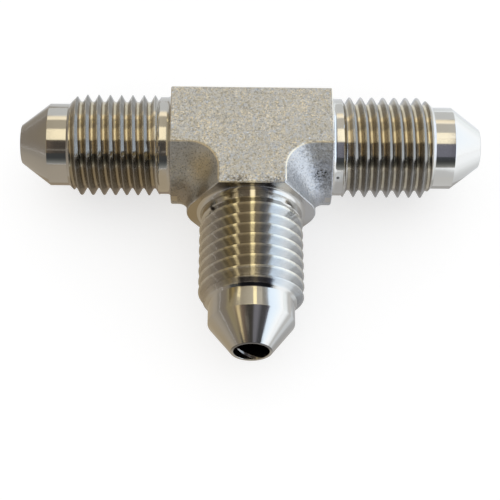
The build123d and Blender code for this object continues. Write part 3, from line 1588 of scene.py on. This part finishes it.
@dataclass(frozen=True)
class Studio:
    """A pale floor, a white surround and the cards that the steel mirrors."""

    floor_level: float
    floor_size: float = 6.0
    floor_colour: Colour = (0.5, 0.5, 0.5)
    floor_glow: float = 0.64
    world_fill: float = 0.8
    cards: tuple[Card, ...] = (
        Card("window_right", 85, 15, 1.3, 0.64, (
            (-12, (1.45, 1.55, 1.7)), (4, (1.5, 1.58, 1.7)), (24, (1.3, 1.5, 1.75)),
            (40, (1.2, 1.42, 1.72)), (44, (1.1, 1.32, 1.6)), (46.5, (0.45, 0.5, 0.58)))),
        Card("ceiling_right", 75, 58, 1.0, 0.22, (
            (46, (0.42, 0.43, 0.45)), (54, (0.36, 0.35, 0.32)), (62, (0.6, 0.56, 0.48)))),
        Card("wall_left", -80, 32, 1.3, 1.0, (
            (0, (0.30, 0.27, 0.24)), (18, (0.29, 0.25, 0.20)), (24, (0.38, 0.33, 0.21)),
            (38, (0.36, 0.30, 0.19)), (50, (0.46, 0.41, 0.32)), (75, (0.55, 0.50, 0.40)))),
        Card("wall_behind", 0, 14, 0.8, 0.36, (
            (-38, (0.69, 0.70, 0.70)), (38, (0.84, 0.88, 0.92))), 0.48, Grading.ROUND),
        Card("ceiling_behind", 0, 62, 0.42, 0.42, (
            (-30, (0.46, 0.41, 0.32)), (0, (0.62, 0.57, 0.46)), (30, (0.70, 0.67, 0.60))),
            0.46, Grading.ROUND),
        Card("lamp_behind", 0, 44, 0.3, 0.108, (
            (36.5, (1.0, 0.95, 0.82)), (41, (1.4, 1.25, 0.97)), (49, (1.45, 1.3, 1.0)),
            (50, (1.2, 1.08, 0.85))), 0.42),
        Card("lamp_overhead", 180, 84, 0.24, 0.215, (
            (67, (1.2, 1.08, 0.78)), (71, (1.5, 1.34, 0.98)), (100, (1.5, 1.34, 0.98))), 0.38),
        Card("lamp_left", -47, 46, 0.04, 0.07, (
            (40, (1.9, 1.65, 1.0)), (50, (1.9, 1.65, 1.0))), 0.4),
        Card("lamp_far_left", -58.5, 28, 0.024, 0.07, (
            (22, (1.1, 0.9, 0.52)), (34, (1.1, 0.9, 0.52))), 0.4),
        Card("front_high", 180, 50, 0.7, 0.30, (
            (142, (0.20, 0.20, 0.27)), (147, (0.09, 0.09, 0.10)), (157, (0.08, 0.08, 0.09)),
            (166, (0.24, 0.24, 0.28)), (173, (0.24, 0.24, 0.28)), (178, (0.07, 0.065, 0.06)),
            (190, (0.06, 0.055, 0.05)), (200, (0.20, 0.15, 0.12)), (205, (0.28, 0.22, 0.16)),
            (208, (0.95, 0.78, 0.46)), (212, (0.95, 0.78, 0.46)), (215, (0.3, 0.23, 0.15))),
            0.44, Grading.ROUND),
        Card("slit_in_front", 195, 40, 0.075, 0.028, (
            (38, (0.30, 0.28, 0.25)), (42, (0.30, 0.28, 0.25))), 0.43),
        Card("backing_front", 180, 58, 1.9, 0.9, (
            (40, (0.24, 0.23, 0.22)), (75, (0.30, 0.28, 0.25))), 0.9),
        Card("backing_left", -115, 38, 1.5, 1.6, (
            (10, (0.30, 0.26, 0.21)), (60, (0.42, 0.38, 0.31))), 0.95),
        Card("front_low", 180, 17, 0.75, 0.32, (
            (-2, (0.42, 0.43, 0.42)), (5, (0.26, 0.27, 0.27)), (11, (0.13, 0.14, 0.14)),
            (18, (0.06, 0.065, 0.07)), (30, (0.06, 0.065, 0.07)))),
    )
    level_cards: tuple[LevelCard, ...] = (
        LevelCard("floor_in_front", -300, 0, (
            (-60, (0.38, 0.35, 0.31)), (-18, (0.50, 0.45, 0.38)), (-7, (0.50, 0.42, 0.30)),
            (7, (0.50, 0.51, 0.53)), (9.5, (0.58, 0.60, 0.63)), (11, (0.80, 0.85, 0.92)),
            (14.5, (0.88, 0.94, 1.02)), (17, (0.74, 0.76, 0.79)), (23, (0.76, 0.79, 0.83)),
            (31, (1.2, 1.27, 1.36)), (45, (1.4, 1.48, 1.6)))),
        LevelCard("floor_by_right_arm", -13, 0, (
            (7, (0.50, 0.50, 0.51)), (10, (0.56, 0.57, 0.59)), (14, (0.76, 0.77, 0.79)),
            (22, (0.76, 0.78, 0.80))), 7, 22, lift=0.06),
        LevelCard("floor_under_run", -4.5, 1, (
            (-22, (0.38, 0.32, 0.24)), (-7, (0.32, 0.26, 0.20)), (7, (0.42, 0.41, 0.40)),
            (22, (0.50, 0.50, 0.50))), -22, 22, lift=0.07),
        LevelCard("floor_behind", 0, 300, (
            (-60, (0.36, 0.33, 0.29)), (-30, (0.38, 0.35, 0.31)), (-24, (0.70, 0.71, 0.72)),
            (-18, (0.74, 0.76, 0.78)), (18, (0.88, 0.92, 0.97)), (45, (1.3, 1.4, 1.5)))),
        LevelCard("glint_over_land", -18.4, -15.8, (
            (0.2, (1.7, 1.5, 0.95)), (1.0, (1.7, 1.5, 0.95))), 0.26, 0.94, 6.2),
        LevelCard("flag_over_branch", -15.6, -7.7, (
            (-7.6, (0.18, 0.14, 0.085)), (-6.0, (0.20, 0.155, 0.08)), (-5.1, (0.40, 0.30, 0.13)),
            (-4.6, (0.36, 0.27, 0.12)), (-3.9, (0.20, 0.16, 0.09)), (-3.3, (0.36, 0.29, 0.16)),
            (-2.95, (1.25, 1.05, 0.6)), (-2.55, (1.25, 1.05, 0.6)), (-2.25, (0.27, 0.21, 0.13)),
            (-1.0, (0.28, 0.22, 0.13)), (-0.3, (0.36, 0.29, 0.18)), (-0.1, (1.6, 1.38, 0.8)),
            (0.32, (1.6, 1.38, 0.8)), (0.55, (0.40, 0.33, 0.22)), (1.3, (0.34, 0.30, 0.24)),
            (1.75, (0.20, 0.20, 0.19)), (2.3, (0.20, 0.21, 0.24)), (2.8, (0.30, 0.33, 0.38))),
            -7.6, 2.8, 6.2),
        LevelCard("flag_over_collar", -7.7, -6.7, (
            (-7.6, (0.12, 0.10, 0.06)), (-5.6, (0.20, 0.155, 0.07)), (-4.9, (0.09, 0.06, 0.035)),
            (-3.9, (0.12, 0.09, 0.05)), (-3.3, (0.45, 0.37, 0.24)), (-2.5, (0.62, 0.5, 0.3)),
            (-2.1, (0.13, 0.11, 0.08)), (-0.35, (0.14, 0.11, 0.08)), (-0.1, (1.6, 1.4, 0.95)),
            (0.35, (1.6, 1.4, 0.95)), (0.6, (0.16, 0.13, 0.09)), (1.3, (0.14, 0.13, 0.11)),
            (2.2, (0.12, 0.12, 0.125)), (2.8, (0.2, 0.21, 0.23))),
            -7.6, 2.8, 6.2),
    )

    def light(self) -> None:
        """Sets the world, floor and cards."""
        self._surround()
        self._lay_floor()
        for card in self.cards:
            card.hang()
        for level_card in self.level_cards:
            level_card.lay(self.floor_level)
        bpy.context.scene.view_settings.view_transform = "Standard"

    def _surround(self) -> None:
        """Makes the world white to the camera and a little darker as a light."""
        world = bpy.data.worlds.new("white_surround")
        bpy.context.scene.world = world
        board = Board(world)
        strength = part_way((self.world_fill, 1), board.seen_directly())
        surround = board.node("ShaderNodeBackground", sockets={"Color": WHITE, "Strength": strength})
        board.finish(surround.outputs[0])

    def _lay_floor(self) -> None:
        """Lays a pale floor that glows to the camera, so that it fades into the surround."""
        middle = Vector((0, 0, self.floor_level))
        floor = add_plane("pale_floor", self.floor_size, self.floor_size, middle)
        board = Board.of_material("pale_floor")
        matt = board.node("ShaderNodeBsdfDiffuse", sockets={"Color": (*self.floor_colour, 1)})
        strength = self.floor_glow * board.seen_directly()
        glow = board.node("ShaderNodeEmission", sockets={"Color": WHITE, "Strength": strength})
        both = board.node("ShaderNodeAddShader", sockets={0: matt.outputs[0], 1: glow.outputs[0]})
        board.finish(both.outputs[0])
        floor.data.materials.append(board.owner)


def main() -> None:
    """Builds the tee, its finishes and the studio."""
    logging.basicConfig(level=logging.INFO, format="%(message)s")
    sizes = TeeSizes.from_frame()
    end = FlareEnd(sizes)
    bored = BoredSteel().dress(sizes.centre_to_tip)
    in_bore = bore_wall_of(sizes.bore_radius)

    body = Forging(sizes, end.shoulder).build()
    shade(body)
    dress_faces(body, BlastedSteel().dress(sizes.half_height, end.shoulder))
    for arm in Arm:
        dress_faces(body, FACED_STEEL.dress(arm, sizes, end.shoulder), end_face_of(arm))
    dress_faces(body, bored, in_bore)
    place_in_frame(body)

    turned = end.build()
    shade(turned)
    for arm, thread_turn in THREAD_TURNS.items():
        piece = on_arm(turned, arm, math.radians(thread_turn))
        dress_faces(piece, TURNED_STEEL[arm].dress(arm, sizes, end.shoulder))
        dress_faces(piece, bored, in_bore)
        place_in_frame(piece)
    bpy.data.objects.remove(turned)

    PhotoCamera().place()
    Studio(-sizes.half_height).light()


if __name__ == "__main__":
    main()
